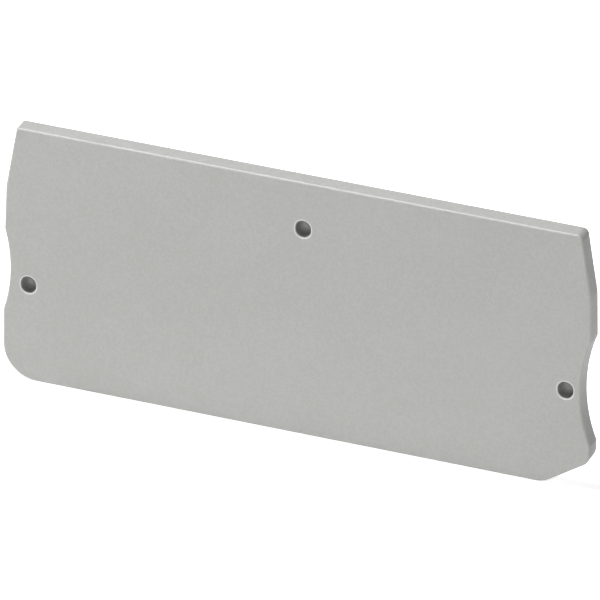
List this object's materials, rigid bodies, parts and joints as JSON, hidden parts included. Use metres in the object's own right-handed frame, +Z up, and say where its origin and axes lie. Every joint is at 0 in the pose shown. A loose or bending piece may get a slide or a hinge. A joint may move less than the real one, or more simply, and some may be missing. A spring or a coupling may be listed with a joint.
{
  "type": "terminal block end cover",
  "caption": "Thin moulded plastic plate that pins onto the last rail-mounted terminal block of a row and closes its open side.",
  "frame": {"origin": "on the back face, half way between the two outer pins", "axes": "+X along the plate towards its bevelled end, +Y out of the back face towards the block, +Z up towards the straight top edge"},
  "size_m": [0.0604, 0.003, 0.0274],
  "materials": {
    "cover_plastic": "fine eroded matt, light grey"
  },
  "bodies": {
    "root": {"end_cover": "cover_plastic"}
  },
  "joints": []
}
